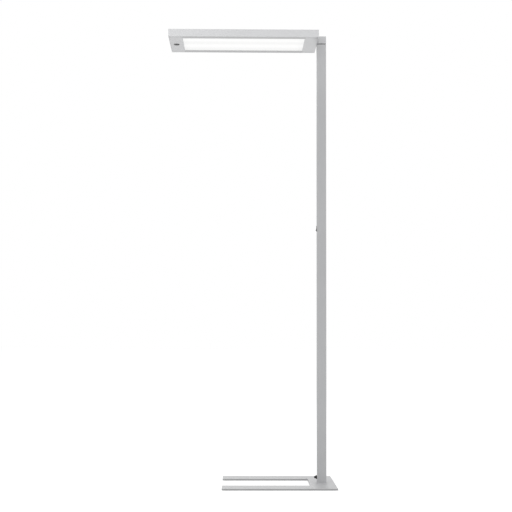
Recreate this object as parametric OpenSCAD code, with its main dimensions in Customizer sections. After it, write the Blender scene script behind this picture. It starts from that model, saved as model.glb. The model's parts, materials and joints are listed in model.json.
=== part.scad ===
// Office floor lamp: U-shaped floor plate, square column and a flat swivelling head.
// Millimetres. +Z is up, +X runs from the head towards the column, +Y is the rear.
// The origin is on the column's axis, at the level of the floor.

/* [Whole lamp] */
// Height from the floor to the top of the head
lamp_height = 1950; // [1200:1:2400]

/* [Floor plate] */
// Length of the floor plate, from the prong tips to its closed end
base_length = 482.5; // [400:0.5:620]
// Depth of the floor plate, across both prongs
base_depth = 436; // [340:1:560]
// Width of the plate's bands: the two prongs and the cross band
base_band = 108.5; // [90:0.5:130]
// Distance from the column's axis to the closed end
base_overhang = 54; // [40:0.5:80]
// Thickness of the plate
plate_thickness = 6; // [5:0.5:12]
// Radius of the plate's corners, seen from above
plate_corner_radius = 3; // [1:0.5:20]
// Thickness of the anti-slip pads
pad_thickness = 2; // [1:0.5:4]
// Side length of the square pads under the prong tips
prong_pad_size = 60; // [30:1:80]
// Width of the long pad under the column
column_pad_width = 60; // [40:1:70]
// Distance from the plate's front and rear edges to the ends of the long pad
column_pad_margin = 28; // [5:1:60]

/* [Column] */
// Outer width of the square column
column_width = 40; // [38:0.5:60]
// Wall of the column
column_wall = 2; // [1.5:0.1:3]
// Outer corner radius of the column
column_corner_radius = 2; // [1:0.1:4]
// Height of the foot block inside the column
foot_block_height = 50; // [46:1:90]
// Height of the pivot plug inside the column's top end
pivot_plug_height = 42; // [34:1:80]
// Clearance of the foot block and the pivot plug in the column, per side
plug_clearance = 0.1; // [0.05:0.01:0.3]

/* [Cable gland] */
// Height of the gland's axis above the floor plate
gland_height = 22; // [20:0.5:24]
// Diameter of the gland's flange
gland_flange_diameter = 16; // [15:0.5:24]
// Thickness of the gland's flange
gland_flange_thickness = 4; // [2:0.5:6]
// Diameter of the gland's tip
gland_tip_diameter = 8.5; // [8:0.5:13]
// Length of the tapered sleeve, outside the flange
gland_sleeve_length = 8; // [6:0.5:30]
// Diameter of the gland's threaded shank
gland_shank_diameter = 12; // [11:0.5:14]
// Bore for the mains cord
cord_bore = 6; // [5:0.1:7]

/* [Rocker switch] */
// Height of the switch's centre above the floor
switch_height = 1106; // [300:1:1500]
// Length of the rocker, along the column
rocker_length = 19.2; // [16:0.2:26]
// Width of the rocker
rocker_width = 10.4; // [8:0.2:14]
// Reach of the rocker's two ends from its axle
rocker_reach = 6.8; // [6.5:0.1:10]
// Tilt of the rocker to either side of level
rocker_tilt = 9; // [4:0.5:10]
// Distance from the column's outer face in to the rocker's axle
axle_setback = 3; // [2.5:0.1:4]
// Diameter of the rocker's axle
axle_diameter = 2.5; // [2:0.1:3]

/* [Swivel] */
// Height of the dark seam between the column and the head block
seam_height = 3.5; // [2:0.1:6]
// How far the column's top stays below the head's underside
column_drop = 0.5; // [0.3:0.1:3]
// How far the thrust washer in the seam lies behind the column's faces
washer_inset = 1.5; // [0.5:0.1:2]
// Outer diameter of the hollow spindle
spindle_diameter = 16; // [13:0.1:18]
// Bore of the spindle, which the lead passes through
spindle_bore = 10; // [8.5:0.5:12]
// Swing of the head to either side of its middle position, in degrees
swivel_angle = 90; // [20:1:150]
// Diameter of the stop pin
stop_pin_diameter = 3; // [2:0.1:4]
// Radial running clearance of spindles and axles
running_clearance = 0.05; // [0.02:0.01:0.1]
// Gap between flat faces that turn on each other
thrust_clearance = 0.1; // [0.05:0.01:0.2]

/* [Head] */
// Depth of the head
head_depth = 305; // [290:1:400]
// Thickness of the head
head_thickness = 32; // [30:0.5:45]
// Wall of the head's frame
head_wall = 2.5; // [2:0.1:4]
// Outer corner radius of the head's frame, seen from above
head_corner_radius = 1.5; // [0.8:0.1:3]
// Thickness of the sheet of the underside panel and the top cover
sheet = 1.5; // [1.3:0.1:2]
// Thickness of the lower, opal diffuser
lower_diffuser_thickness = 3; // [2:0.5:4]
// Thickness of the upper, clear cover
upper_diffuser_thickness = 2; // [1.5:0.5:3]
// How far both diffusers lie over the window's edge
diffuser_lap = 6; // [3:0.5:8]
// Clearance of the panel and cover inside the frame, per side
panel_clearance = 0.3; // [0.1:0.05:0.6]
// Thickness of the bracket that carries the head
bracket_thickness = 8; // [5:0.5:10]

/* [Light source] */
// Length of the glass tubes, over their metal end caps
tube_length = 549; // [400:1:849]
// Diameter of the glass tubes
tube_diameter = 16; // [12:0.5:16]
// Number of tubes
tube_count = 4; // [2:2:4]
// Distance between neighbouring tubes
tube_pitch = 50; // [42:1:56]
// Thickness of a tube holder, along the tube
holder_thickness = 14; // [11:0.5:16]
// Gap between the tube holders and the ends of the diffusers
holder_gap = 5.5; // [1:0.5:20]
// Room beyond the holders at the free end of the head
free_end_room = 35.5; // [30:0.5:60]
// Room beyond the holders at the column end of the head
column_end_room = 33.5; // [30:0.5:60]
// Length of each control gear box
gear_length = 346; // [200:1:350]
// Width of each control gear box
gear_width = 18; // [16:0.5:26]
// Height of each control gear box
gear_height = 18; // [14:0.5:18]
// Gap between a control gear box and the reflector beside it
gear_gap = 0.3; // [0.2:0.1:3]

/* [Sensor] */
// Diameter of the sensor's visible bezel
sensor_diameter = 25; // [20:0.5:26]
// Distance from the free end of the head to the sensor's axis
sensor_inset = 29; // [22:0.5:34]

/* [Hidden] */

$fn = 64;
// Small overlap that lets a cutting tool pass through a face
cut = 1;

// Colours
silver = [0.79, 0.80, 0.81];
steel = [0.62, 0.63, 0.65];
black = [0.07, 0.07, 0.08];
dark_grey = [0.22, 0.22, 0.23];
white = [0.94, 0.94, 0.93];
opal = [0.99, 0.99, 0.97];
brass = [0.78, 0.65, 0.35];
green = [0.12, 0.38, 0.22];

// Heights of the floor plate and the column
plate_bottom = pad_thickness;
plate_top = plate_bottom + plate_thickness;
column_half = column_width / 2;
inner_half = column_half - column_wall;
head_bottom = lamp_height - head_thickness;
column_top = head_bottom - column_drop;
block_bottom = column_top + seam_height;
block_top = block_bottom + head_thickness;
gland_z = plate_top + gland_height;

// Floor plate in plan
base_right = base_overhang;
base_left = base_right - base_length;
slot_half = base_depth / 2 - base_band;
slot_right = base_right - base_band;

// Screws: radius of the shank and of the head
base_screw = [3, 6];
side_screw = [2.5, 4.75];
panel_screw = [1.5, 2.8];
block_screw = [2.5, 4.25];
gear_screw = [1.5, 2.6];
thread_clearance = 0.05;
hole_clearance = 0.2;
base_screw_length = 16;
base_screw_offset = inner_half - 6;
side_screw_length = 9;
side_screw_offset = inner_half - 8;
foot_side_screw_z = plate_top + foot_block_height - 8;
plug_side_screw_z = column_top - pivot_plug_height + 12;

// Foot block
block_half = inner_half - plug_clearance;
nut_radius = gland_shank_diameter / 2 + 4.2;
nut_thickness = 4;
cavity_radius = nut_radius + 1.8;
cavity_end_x = 7;
wire_bore_radius = 8;
foot_block_top = plate_top + foot_block_height;
earth_x = (wire_bore_radius + block_half) / 2;

// Leads
lead_radius = 3.5;
wire_radius = 2;
lead_gap = 0.3;
terminal_width = 12;
terminal_depth = 18;
terminal_height = 16;
terminal_lead_z = foot_block_top + 10;

// Pivot
spindle_radius = spindle_diameter / 2;
bush_wall = 2;
bush_radius = spindle_radius + bush_wall;
bush_flange_radius = bush_radius + 1.5;
bush_flange = 1.5;
bush_length = 14;
bush_seat_clearance = 0.02;
plug_bottom = column_top - pivot_plug_height;
stop_slot_clearance = 0.3;
slot_land = 0.7;
stop_pin_radius = bush_flange_radius + slot_land + stop_slot_clearance + stop_pin_diameter / 2;
thrust_washer_radius = column_half - washer_inset;
stop_slot_depth = 4;
spindle_socket = 11;
disc_thickness = 1.5;
spring_washer_thickness = 1.2;
spindle_nut_thickness = 6;
stack_radius = spindle_radius + 5;
disc_bottom = plug_bottom - thrust_clearance - disc_thickness;
spring_bottom = disc_bottom - spring_washer_thickness;
nut_bottom = spring_bottom - spindle_nut_thickness;
spindle_bottom = nut_bottom - 2;
spindle_top = block_bottom + spindle_socket - 1;
block_cavity_radius = 9;
cap_radius = 13;
cap_thickness = 3;
cap_spigot = 4;
head_wire_z = block_bottom + 15;
wire_hole_radius = 4.5;
grub_screw_z = block_bottom + 5.5;
grub_screw_length = 8;

// Screw bosses in the head's frame and the reflector rails beside them
boss_radius = 4.5;
boss_setback = 3.5;
boss_clearance = 0.5;
boss_room = boss_setback + boss_radius + boss_clearance;
boss_inset = head_wall + boss_setback;
boss_rows = [-1, 1];
boss_spaces = 3;
reflector_sheet = 1.2;
reflector_gap = 0.5;

// Head in plan and in height
head_length = tube_length + 2 * holder_thickness + free_end_room + column_end_room;
head_right = -column_half;
head_left = head_right - head_length;
head_half = head_depth / 2;
panel_top = head_bottom + sheet;
cover_bottom = lamp_height - sheet;
window_left = head_left + free_end_room + holder_thickness + holder_gap + diffuser_lap;
window_right = head_right - column_end_room - holder_thickness - holder_gap - diffuser_lap;
rail_width = head_wall + boss_room + gear_width + gear_gap + reflector_sheet + reflector_gap
    + diffuser_lap;
window_half = head_half - rail_width;
lower_diffuser_top = panel_top + lower_diffuser_thickness;
upper_diffuser_bottom = cover_bottom - upper_diffuser_thickness;
diffuser_left = window_left - diffuser_lap;
diffuser_right = window_right + diffuser_lap;
diffuser_half = window_half + diffuser_lap;

// Places of the screw bosses
boss_y = head_half - boss_inset;
boss_first_x = head_left + boss_inset;
boss_step = (head_length - 2 * boss_inset) / boss_spaces;
panel_screw_length = 8;

// Bracket and its screws
bracket_left = head_right - head_wall - bracket_thickness;
bracket_half = head_half - head_wall - boss_room;
bracket_end_gap = 1.5;
block_screw_y = 13;
block_screw_rise = 8.5;
block_screw_depth = 13;
block_screw_head = 5;

// Reflector rails and control gear
reflector_wall_y = diffuser_half + reflector_gap;
reflector_foot_y = head_half - head_wall - boss_room;
reflector_lip_y = window_half + 1.5;
lip_gap = 0.1;
gear_y = reflector_foot_y - gear_width;
gear_z = panel_top + reflector_sheet;
gear_ear = 8;
gear_ear_thickness = 2;
gear_right = diffuser_right - 2;
gear_left = gear_right - gear_length;

// Tubes and holders
tube_radius = tube_diameter / 2;
tube_z = panel_top + lower_diffuser_thickness + 3.5 + tube_radius;
tube_right = head_right - column_end_room - holder_thickness;
tube_left = tube_right - tube_length;
cap_length = 12;
cap_wall = 0.25;
pin_radius = 1.2;
pin_length = 7;
pin_spread = 2.5;
pin_clearance = 0.15;
holder_half = 9;
tube_wall = 1;

// Sensor
sensor_x = head_left + sensor_inset;
sensor_bezel_proud = 1.6;
sensor_body_radius = sensor_diameter / 2 - 2;
sensor_bore_radius = sensor_body_radius - 1.6;
sensor_body_top = panel_top + 8;

// Head terminal and its wires
head_terminal_x = [-30, -17];
head_terminal_y = [60, 95];
head_terminal_height = 18;
gear_wire_x = head_right - 23.5;
gear_wire_z = gear_z + 6;
gear_wire_y = gear_y + gear_width / 2;
head_lead_x = head_right - 21;

// Rocker switch
axle_x = -column_half + axle_setback;
axle_radius = axle_diameter / 2;
switch_wall = 1.3;
rocker_side_gap = 0.4;
rocker_end_gap = 1.1;
switch_cavity_y = rocker_width / 2 + rocker_side_gap;
switch_cavity_z = rocker_length / 2 + rocker_end_gap;
housing_y = switch_cavity_y + switch_wall;
housing_z = switch_cavity_z + switch_wall;
housing_clearance = 0.1;
switch_flange = 1.2;
switch_flange_lip = 0.9;
housing_depth = 14;
switch_floor_depth = 10.5;
rocker_back = 1.5;
rocker_stem_reach = 5.5;
rocker_stem_half = 1.5;
rocker_hollow_radius = 28;
rocker_hollow_depth = 1.7;

// A flat rectangle between two corners, with round corners
module rounded_plan(x0, x1, y0, y1, radius) {
    translate([x0 + radius, y0])
        square([x1 - x0 - 2 * radius, y1 - y0]);
    translate([x0, y0 + radius])
        square([x1 - x0, y1 - y0 - 2 * radius]);
    for (x = [x0 + radius, x1 - radius], y = [y0 + radius, y1 - radius])
        translate([x, y])
            circle(r = radius);
}

// A box between two corners
module span_box(x, y, z) {
    translate([x[0], y[0], z[0]])
        cube([x[1] - x[0], y[1] - y[0], z[1] - z[0]]);
}

// An upright cylinder between two heights
module rod_z(x, y, z0, z1, radius) {
    translate([x, y, z0])
        cylinder(r = radius, h = z1 - z0);
}

// A cylinder along X between two places
module rod_x(x0, x1, y, z, radius) {
    translate([x0, y, z])
        rotate([0, 90, 0])
            cylinder(r = radius, h = x1 - x0);
}

// A cylinder along Y between two places
module rod_y(y0, y1, x, z, radius) {
    translate([x, y0, z])
        rotate([-90, 0, 0])
            cylinder(r = radius, h = y1 - y0);
}

// A ball that rounds the bend of a lead
module elbow(x, y, z, radius) {
    translate([x, y, z])
        sphere(r = radius);
}

// A countersunk screw, its flat head at the origin and its shank along +Z
module countersunk_screw(size, length) {
    cone = size[1] - size[0];
    difference() {
        union() {
            cylinder(r1 = size[1], r2 = size[0], h = cone);
            cylinder(r = size[0], h = length);
        }
        translate([0, 0, -cut])
            cylinder(r = size[0] * 0.62, h = cut + cone * 0.6, $fn = 6);
    }
}

// The hole for a countersunk screw through a sheet, its wide end at the origin
module countersunk_hole(size, depth) {
    cone = size[1] - size[0];
    wide = size[1] + hole_clearance;
    translate([0, 0, -cut])
        cylinder(r = wide, h = cut);
    cylinder(r1 = wide, r2 = size[0] + hole_clearance, h = cone);
    cylinder(r = size[0] + hole_clearance, h = depth + cut);
}

// A button-head screw, the underside of its head at the origin and its shank along +Z
module button_screw(size, length, head_height) {
    difference() {
        union() {
            translate([0, 0, -head_height])
                cylinder(r1 = size[1] * 0.72, r2 = size[1], h = head_height * 0.6);
            translate([0, 0, -head_height * 0.4])
                cylinder(r = size[1], h = head_height * 0.4);
            cylinder(r = size[0], h = length);
        }
        translate([0, 0, -head_height - cut])
            cylinder(r = size[0] * 0.6, h = cut + head_height * 0.7, $fn = 6);
    }
}

// The four places of the screws under the column
module at_base_screws() {
    for (x = [-1, 1], y = [-1, 1])
        translate([x * base_screw_offset, y * base_screw_offset, plate_bottom])
            children();
}

// The two places of the screws in the column's rear face at one height, shanks towards -Y
module at_side_screws(z) {
    for (side = [-1, 1])
        translate([side * side_screw_offset, column_half, z])
            rotate([90, 0, 0])
                children();
}

// The places of the screw bosses along both long sides of the head
module at_bosses(z) {
    for (row = boss_rows, i = [0 : boss_spaces])
        translate([boss_first_x + i * boss_step, row * boss_y, z])
            children();
}

// The places of the four screws that hold the head to its block, shanks towards +X
module at_block_screws(x) {
    for (side = [-1, 1], z = [head_bottom + block_screw_rise, lamp_height - block_screw_rise])
        translate([x, side * block_screw_y, z])
            rotate([0, 90, 0])
                children();
}

// The place of each tube along the depth of the head
function tube_y(i) = (i - (tube_count - 1) / 2) * tube_pitch;

// ---- Stand ----

module base_plate() {
    color(silver)
        difference() {
            translate([0, 0, plate_bottom])
                linear_extrude(plate_thickness)
                    difference() {
                        rounded_plan(base_left, base_right, -base_depth / 2, base_depth / 2,
                                     plate_corner_radius);
                        rounded_plan(base_left - base_band, slot_right, -slot_half, slot_half,
                                     plate_corner_radius);
                    }
            at_base_screws()
                countersunk_hole(base_screw, plate_thickness);
        }
}

module column_pad() {
    pad_x = base_right - base_band / 2;
    pad_y = base_depth / 2 - column_pad_margin;
    color(dark_grey)
        span_box([pad_x - column_pad_width / 2, pad_x + column_pad_width / 2],
                 [-pad_y, pad_y], [0, pad_thickness]);
}

module prong_pads() {
    prong_y = slot_half + base_band / 2;
    inset = (base_band - prong_pad_size) / 2;
    color(dark_grey)
        for (side = [-1, 1])
            span_box([base_left + inset, base_left + inset + prong_pad_size],
                     [side * prong_y - prong_pad_size / 2, side * prong_y + prong_pad_size / 2],
                     [0, pad_thickness]);
}

module base_screws() {
    color(steel)
        at_base_screws()
            countersunk_screw(base_screw, base_screw_length);
}

module foot_block() {
    color(steel)
        difference() {
            span_box([-block_half, block_half], [-block_half, block_half],
                     [plate_top, foot_block_top]);
            rod_x(-block_half - cut, cavity_end_x, 0, gland_z, cavity_radius);
            rod_z(0, 0, gland_z, foot_block_top + cut, wire_bore_radius);
            at_base_screws()
                cylinder(r = base_screw[0] + thread_clearance, h = base_screw_length + 1);
            at_side_screws(foot_side_screw_z)
                cylinder(r = side_screw[0] + thread_clearance, h = side_screw_length + 1);
            rod_z(earth_x, 0, foot_block_top - 9, foot_block_top + cut, 2 + thread_clearance);
        }
}

module foot_side_screws() {
    color(steel)
        at_side_screws(foot_side_screw_z)
            button_screw(side_screw, side_screw_length, 2.7);
}

// An M4 screw with its ring tag, on top of the foot block
module earth_screw() {
    color(brass) {
        rod_z(earth_x, 0, foot_block_top - 8, foot_block_top + 1, 2);
        rod_z(earth_x, 0, foot_block_top, foot_block_top + 1, 3.8);
        rod_z(earth_x, 0, foot_block_top + 1, foot_block_top + 3.5, 3.3);
    }
}

// A terminal block on top of the foot block, beside the wire bore
module mains_terminal() {
    color(white)
        difference() {
            span_box([-inner_half + 0.5, -inner_half + 0.5 + terminal_width],
                     [-terminal_depth / 2, terminal_depth / 2],
                     [foot_block_top, foot_block_top + terminal_height]);
            for (i = [-1 : 1])
                rod_z(-inner_half + 4, i * 5.5, foot_block_top + 8,
                      foot_block_top + terminal_height + cut, 1.6);
        }
}

module column_tube() {
    color(silver)
        difference() {
            translate([0, 0, plate_top])
                linear_extrude(column_top - plate_top)
                    difference() {
                        rounded_plan(-column_half, column_half, -column_half, column_half,
                                     column_corner_radius);
                        square(2 * inner_half, center = true);
                    }
            rod_x(-column_half - cut, -inner_half + cut, 0, gland_z,
                  gland_shank_diameter / 2 + housing_clearance);
            span_box([-column_half - cut, -inner_half + cut],
                     [-housing_y - housing_clearance, housing_y + housing_clearance],
                     [switch_height - housing_z - housing_clearance,
                      switch_height + housing_z + housing_clearance]);
            for (z = [foot_side_screw_z, plug_side_screw_z])
                at_side_screws(z)
                    translate([0, 0, -cut])
                        cylinder(r = side_screw[0] + hole_clearance,
                                 h = column_wall + 2 * cut);
        }
}

// The black gland where the mains cord enters, on the left face of the column's foot
module cable_gland() {
    shank_end = -inner_half + nut_thickness + 2;
    flange_end = -column_half - gland_flange_thickness;
    color(black)
        difference() {
            union() {
                rod_x(-column_half, shank_end, 0, gland_z, gland_shank_diameter / 2);
                rod_x(flange_end, -column_half, 0, gland_z, gland_flange_diameter / 2);
                translate([flange_end, 0, gland_z])
                    rotate([0, -90, 0])
                        cylinder(r1 = gland_flange_diameter / 2 - 1,
                                 r2 = gland_tip_diameter / 2, h = gland_sleeve_length);
            }
            rod_x(flange_end - gland_sleeve_length - cut, shank_end + cut, 0, gland_z,
                  cord_bore / 2);
        }
}

module gland_locknut() {
    color(black)
        difference() {
            translate([-inner_half, 0, gland_z])
                rotate([0, 90, 0])
                    cylinder(r = nut_radius, h = nut_thickness, $fn = 6);
            rod_x(-inner_half - cut, -inner_half + nut_thickness + cut, 0, gland_z,
                  gland_shank_diameter / 2 + thread_clearance);
        }
}

// The lead from the foot terminal up the column to the spindle's top
module column_lead() {
    color(black) {
        rod_x(-inner_half + 0.5 + terminal_width, 0, 0, terminal_lead_z, lead_radius);
        elbow(0, 0, terminal_lead_z, lead_radius);
        rod_z(0, 0, terminal_lead_z, spindle_top, lead_radius);
    }
}

// ---- Rocker switch ----

module switch_housing() {
    flange_y = housing_y + switch_flange_lip;
    flange_z = housing_z + switch_flange_lip;
    color(dark_grey)
        difference() {
            union() {
                span_box([-column_half - switch_flange, -column_half], [-flange_y, flange_y],
                         [switch_height - flange_z, switch_height + flange_z]);
                span_box([-column_half, -column_half + housing_depth], [-housing_y, housing_y],
                         [switch_height - housing_z, switch_height + housing_z]);
            }
            span_box([-column_half - switch_flange - cut, -column_half + switch_floor_depth],
                     [-switch_cavity_y, switch_cavity_y],
                     [switch_height - switch_cavity_z, switch_height + switch_cavity_z]);
            rod_y(-housing_y - cut, housing_y + cut, axle_x, switch_height,
                  axle_radius + bush_seat_clearance);
        }
}

module rocker_axle() {
    color(steel)
        rod_y(-housing_y, housing_y, axle_x, switch_height, axle_radius);
}

// The two fixed contacts at the bottom of the housing
module switch_contacts() {
    color(brass)
        for (side = [-1, 1])
            span_box([-column_half + switch_floor_depth - 1, -column_half + switch_floor_depth],
                     [-3, 3],
                     [switch_height + side * 4 - 1.5, switch_height + side * 4 + 1.5]);
}

// The short wire from the switch to the column's lead
module switch_lead() {
    exit_x = -column_half + housing_depth - 4;
    turn_z = switch_height + housing_z + 12;
    color(black) {
        rod_z(exit_x, 0, switch_height + housing_z, turn_z, 1.5);
        elbow(exit_x, 0, turn_z, 1.5);
        rod_x(exit_x, -lead_radius, 0, turn_z, 1.5);
    }
}

// The rocker, its upper end pressed in: a hollowed face, side bearings and a short stem
module rocker() {
    hollow_x = -rocker_reach - rocker_hollow_radius + rocker_hollow_depth;
    color(black)
        translate([axle_x, 0, switch_height])
            rotate([0, rocker_tilt, 0])
                difference() {
                    union() {
                        span_box([-rocker_reach, rocker_back],
                                 [-rocker_width / 2, rocker_width / 2],
                                 [-rocker_length / 2, rocker_length / 2]);
                        span_box([rocker_back, rocker_stem_reach], [-2, 2],
                                 [-rocker_stem_half, rocker_stem_half]);
                    }
                    rod_y(-rocker_width, rocker_width, hollow_x, 0, rocker_hollow_radius);
                    rod_y(-rocker_width, rocker_width, 0, 0, axle_radius + running_clearance);
                }
}

// ---- Pivot ----

// The plug in the column's top end, with the bush seats and the stop pin's slot
module pivot_plug() {
    slot_half_width = stop_pin_diameter / 2 + stop_slot_clearance;
    slot_floor = column_top - stop_slot_depth;
    color(steel)
        difference() {
            span_box([-block_half, block_half], [-block_half, block_half],
                     [plug_bottom, column_top]);
            rod_z(0, 0, plug_bottom - cut, column_top + cut, bush_radius + bush_seat_clearance);
            rod_z(0, 0, column_top - bush_flange, column_top + cut,
                  bush_flange_radius + bush_seat_clearance);
            rod_z(0, 0, plug_bottom - cut, plug_bottom + bush_flange,
                  bush_flange_radius + bush_seat_clearance);
            translate([0, 0, slot_floor])
                rotate([0, 0, -swivel_angle])
                    rotate_extrude(angle = 2 * swivel_angle)
                        translate([stop_pin_radius - slot_half_width, 0])
                            square([2 * slot_half_width, stop_slot_depth + cut]);
            for (side = [-1, 1])
                rotate([0, 0, side * swivel_angle])
                    rod_z(stop_pin_radius, 0, slot_floor, column_top + cut, slot_half_width);
            at_side_screws(plug_side_screw_z)
                cylinder(r = side_screw[0] + thread_clearance, h = side_screw_length + 1);
        }
}

module plug_side_screws() {
    color(steel)
        at_side_screws(plug_side_screw_z)
            button_screw(side_screw, side_screw_length - 1, 2.7);
}

// A flanged bush: its flange at the origin and its sleeve along +Z
module flanged_bush() {
    color(brass)
        difference() {
            union() {
                cylinder(r = bush_flange_radius, h = bush_flange);
                cylinder(r = bush_radius, h = bush_length);
            }
            translate([0, 0, -cut])
                cylinder(r = spindle_radius + running_clearance, h = bush_length + 2 * cut);
        }
}

module upper_bush() {
    translate([0, 0, column_top])
        mirror([0, 0, 1])
            flanged_bush();
}

module lower_bush() {
    translate([0, 0, plug_bottom])
        flanged_bush();
}

module spindle() {
    color(steel)
        difference() {
            rod_z(0, 0, spindle_bottom, spindle_top, spindle_radius);
            rod_z(0, 0, spindle_bottom - cut, spindle_top + cut, spindle_bore / 2);
        }
}

// The black washer in the seam, with a hole for the stop pin
module thrust_washer() {
    color(black)
        difference() {
            rod_z(0, 0, column_top + thrust_clearance, block_bottom, thrust_washer_radius);
            rod_z(0, 0, column_top - cut, block_bottom + cut, spindle_radius + hole_clearance);
            rod_z(stop_pin_radius, 0, column_top - cut, block_bottom + cut,
                  stop_pin_diameter / 2 + thread_clearance);
        }
}

module stop_pin() {
    color(steel)
        rod_z(stop_pin_radius, 0, column_top - stop_slot_depth + 1, block_bottom + 8,
              stop_pin_diameter / 2);
}

// A flat ring on the spindle, under the pivot plug
module stack_ring(bottom, thickness, radius) {
    difference() {
        rod_z(0, 0, bottom, bottom + thickness, radius);
        rod_z(0, 0, bottom - cut, bottom + thickness + cut, spindle_radius + thread_clearance);
    }
}

module friction_disc() {
    color(brass)
        stack_ring(disc_bottom, disc_thickness, stack_radius);
}

module spring_washer() {
    color(steel)
        stack_ring(spring_bottom, spring_washer_thickness, stack_radius - 1);
}

module spindle_nut() {
    color(steel)
        difference() {
            translate([0, 0, nut_bottom])
                cylinder(r = stack_radius, h = spindle_nut_thickness, $fn = 6);
            rod_z(0, 0, nut_bottom - cut, spring_bottom + cut, spindle_radius + thread_clearance);
        }
}

// The block on top of the column that carries the head
module head_block() {
    color(silver)
        difference() {
            translate([0, 0, block_bottom])
                linear_extrude(head_thickness)
                    rounded_plan(-column_half, column_half, -column_half, column_half,
                                 column_corner_radius);
            rod_z(0, 0, block_bottom - cut, block_bottom + spindle_socket,
                  spindle_radius + thread_clearance);
            rod_z(0, 0, block_bottom + spindle_socket, block_top + cut, block_cavity_radius);
            rod_z(0, 0, block_top - cap_thickness, block_top + cut,
                  cap_radius + housing_clearance);
            rod_x(-column_half - cut, 0, 0, head_wire_z, wire_hole_radius);
            rod_z(stop_pin_radius, 0, block_bottom - cut, block_bottom + 9,
                  stop_pin_diameter / 2 + bush_seat_clearance);
            rod_y(0, column_half + cut, 0, grub_screw_z, block_screw[0] + thread_clearance);
            at_block_screws(-column_half - cut)
                cylinder(r = block_screw[0] + thread_clearance, h = block_screw_depth + 1 + cut);
        }
}

module block_cap() {
    color(silver) {
        rod_z(0, 0, block_top - cap_thickness, block_top, cap_radius);
        rod_z(0, 0, block_top - cap_thickness - cap_spigot, block_top - cap_thickness,
              block_cavity_radius - housing_clearance);
    }
}

// The set screw that locks the spindle in the block, in the block's rear face
module spindle_grub_screw() {
    color(steel)
        difference() {
            rod_y(spindle_radius, spindle_radius + grub_screw_length, 0, grub_screw_z,
                  block_screw[0]);
            translate([0, spindle_radius + grub_screw_length - 2.5, grub_screw_z])
                rotate([-90, 0, 0])
                    cylinder(r = 1.4, h = 2.5 + cut, $fn = 6);
        }
}

module block_screws() {
    color(steel)
        at_block_screws(bracket_left)
            difference() {
                union() {
                    translate([0, 0, -block_screw_head])
                        cylinder(r = block_screw[1], h = block_screw_head);
                    cylinder(r = block_screw[0],
                             h = bracket_thickness + head_wall + block_screw_depth);
                }
                translate([0, 0, -block_screw_head - cut])
                    cylinder(r = 2.3, h = 2.5 + cut, $fn = 6);
            }
}

// ---- Head ----

// The bar inside the column end of the head, bolted through the frame to the block
module head_bracket() {
    color(steel)
        difference() {
            span_box([bracket_left, head_right - head_wall], [-bracket_half, bracket_half],
                     [panel_top + bracket_end_gap, cover_bottom - bracket_end_gap]);
            rod_x(bracket_left - cut, head_right, 0, head_wire_z, wire_hole_radius);
            at_block_screws(bracket_left - cut)
                cylinder(r = block_screw[0] + hole_clearance, h = bracket_thickness + 2 * cut);
        }
}

// The frame around the head: four walls and the screw bosses
module head_frame() {
    color(silver)
        difference() {
            union() {
                translate([0, 0, head_bottom])
                    linear_extrude(head_thickness)
                        difference() {
                            rounded_plan(head_left, head_right, -head_half, head_half,
                                         head_corner_radius);
                            translate([head_left + head_wall, -head_half + head_wall])
                                square([head_length - 2 * head_wall,
                                        head_depth - 2 * head_wall]);
                        }
                at_bosses(panel_top)
                    cylinder(r = boss_radius, h = cover_bottom - panel_top);
            }
            at_bosses(panel_top - cut)
                cylinder(r = panel_screw[0] + thread_clearance,
                         h = cover_bottom - panel_top + 2 * cut);
            rod_x(head_right - head_wall - cut, head_right + cut, 0, head_wire_z,
                  wire_hole_radius);
            at_block_screws(head_right - head_wall - cut)
                cylinder(r = block_screw[0] + hole_clearance, h = head_wall + 2 * cut);
        }
}

// The sheet outline that fits in the frame, with its window
module panel_plan() {
    gap = head_wall + panel_clearance;
    difference() {
        translate([head_left + gap, -head_half + gap])
            square([head_length - 2 * gap, head_depth - 2 * gap]);
        translate([window_left, -window_half])
            square([window_right - window_left, 2 * window_half]);
    }
}

module underside_panel() {
    color(silver)
        difference() {
            translate([0, 0, head_bottom])
                linear_extrude(sheet)
                    panel_plan();
            rod_z(sensor_x, 0, head_bottom - cut, panel_top + cut,
                  sensor_body_radius + housing_clearance);
            at_bosses(head_bottom)
                countersunk_hole(panel_screw, sheet);
        }
}

module underside_screws() {
    color(steel)
        at_bosses(head_bottom)
            countersunk_screw(panel_screw, panel_screw_length);
}

module lower_diffuser() {
    color(opal)
        span_box([diffuser_left, diffuser_right], [-diffuser_half, diffuser_half],
                 [panel_top, lower_diffuser_top]);
}

// A folded white rail beside the tubes, drawn for the rear: a foot that carries the
// control gear, a wall, and a lip over the lower diffuser's edge
module reflector_rail() {
    lip_z = lower_diffuser_top + lip_gap;
    color(white)
        difference() {
            union() {
                span_box([diffuser_left, diffuser_right],
                         [reflector_wall_y, reflector_wall_y + reflector_sheet],
                         [panel_top, upper_diffuser_bottom]);
                span_box([diffuser_left, diffuser_right], [reflector_wall_y, reflector_foot_y],
                         [panel_top, panel_top + reflector_sheet]);
                span_box([diffuser_left, diffuser_right],
                         [reflector_lip_y, reflector_wall_y + reflector_sheet],
                         [lip_z, lip_z + reflector_sheet]);
            }
            at_gear_screws()
                translate([0, 0, -2 * reflector_sheet])
                    cylinder(r = gear_screw[0] + thread_clearance, h = 4 * reflector_sheet);
        }
}

module front_reflector() {
    mirror([0, 1, 0])
        reflector_rail();
}

module rear_reflector() {
    reflector_rail();
}

// The places of the two screws of the rear control gear, at the foot's upper face
module at_gear_screws() {
    for (x = [gear_left - gear_ear / 2, gear_right - gear_ear / 2])
        translate([x, gear_wire_y, gear_z])
            children();
}

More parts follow.
